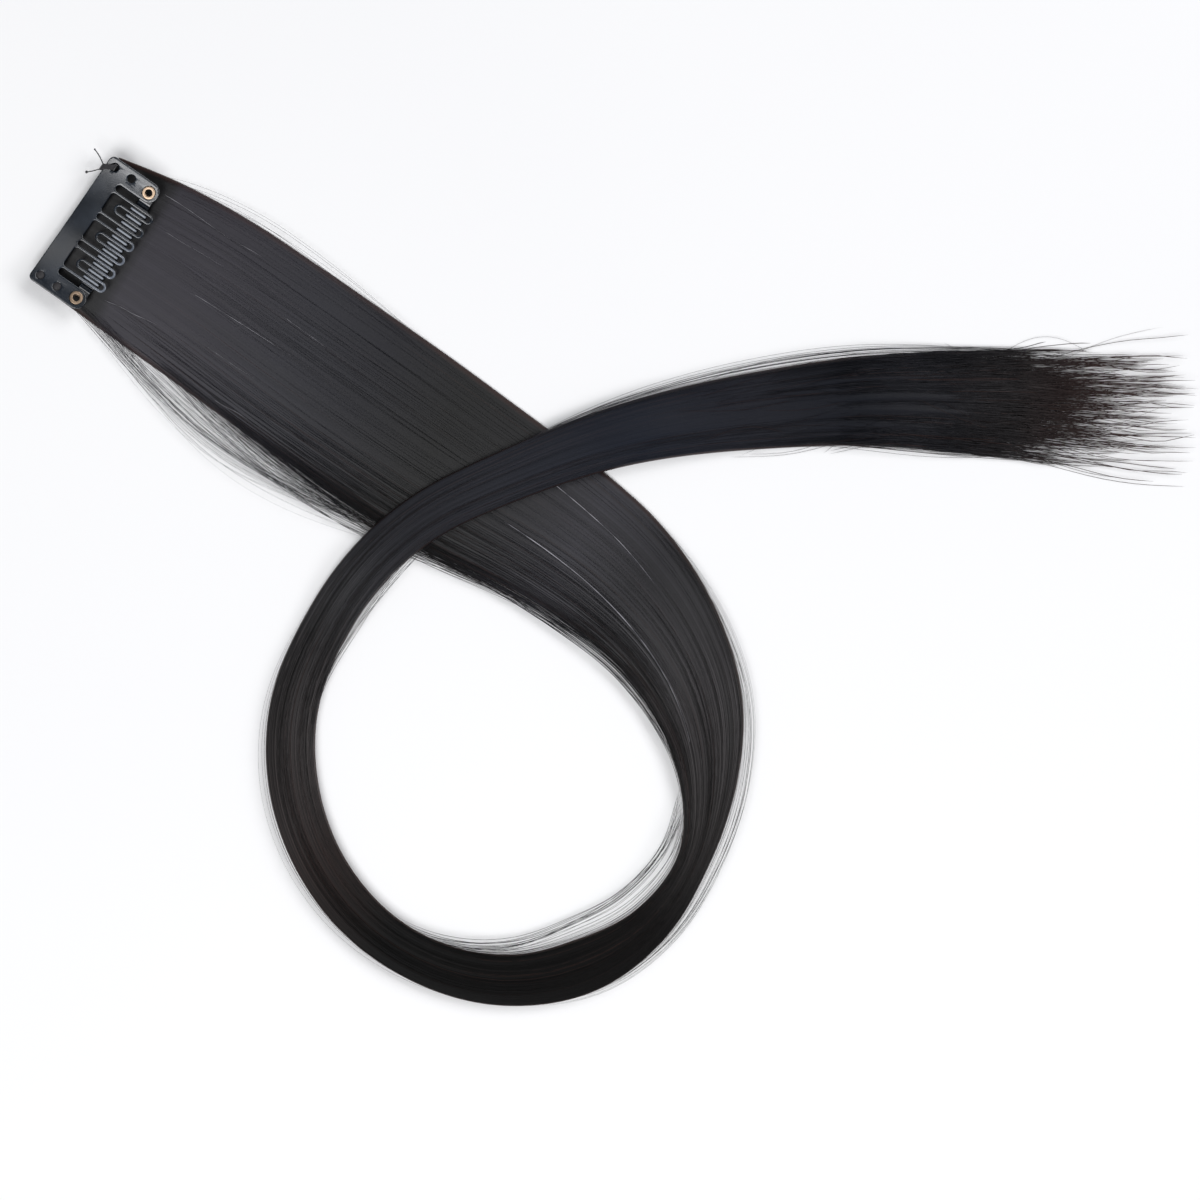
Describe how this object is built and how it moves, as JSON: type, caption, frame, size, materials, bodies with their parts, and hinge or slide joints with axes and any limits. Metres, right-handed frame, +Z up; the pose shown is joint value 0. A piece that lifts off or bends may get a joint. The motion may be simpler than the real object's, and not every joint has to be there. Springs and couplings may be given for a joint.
{
  "type": "clip in hair extension",
  "caption": "Snap comb clip with a ribbed grip sleeve, sewn to a weft of long straight dark hair that lies in one open loop.",
  "frame": {"origin": "on the table, under the middle of the box round the whole piece", "axes": "+X the way the loose ends of the hair point, +Z up from the table, towards the comb side of the clip"},
  "size_m": [0.2478, 0.1838, 0.0061],
  "materials": {
    "lacquered_steel": "glossy blue-black lacquer",
    "grip_rubber": "ribbed satin",
    "pale_brass": "bright rolled",
    "sewing_thread": "twisted",
    "dark_hair": "straight near-black hair with a soft sheen"
  },
  "bodies": {
    "root": {"comb_plate": "lacquered_steel", "front_bar": "lacquered_steel", "grip_sleeve": "grip_rubber", "eyelet_left": "pale_brass", "eyelet_right": "pale_brass", "thread_tie": "sewing_thread", "hair_weft": "dark_hair"}
  },
  "joints": []
}
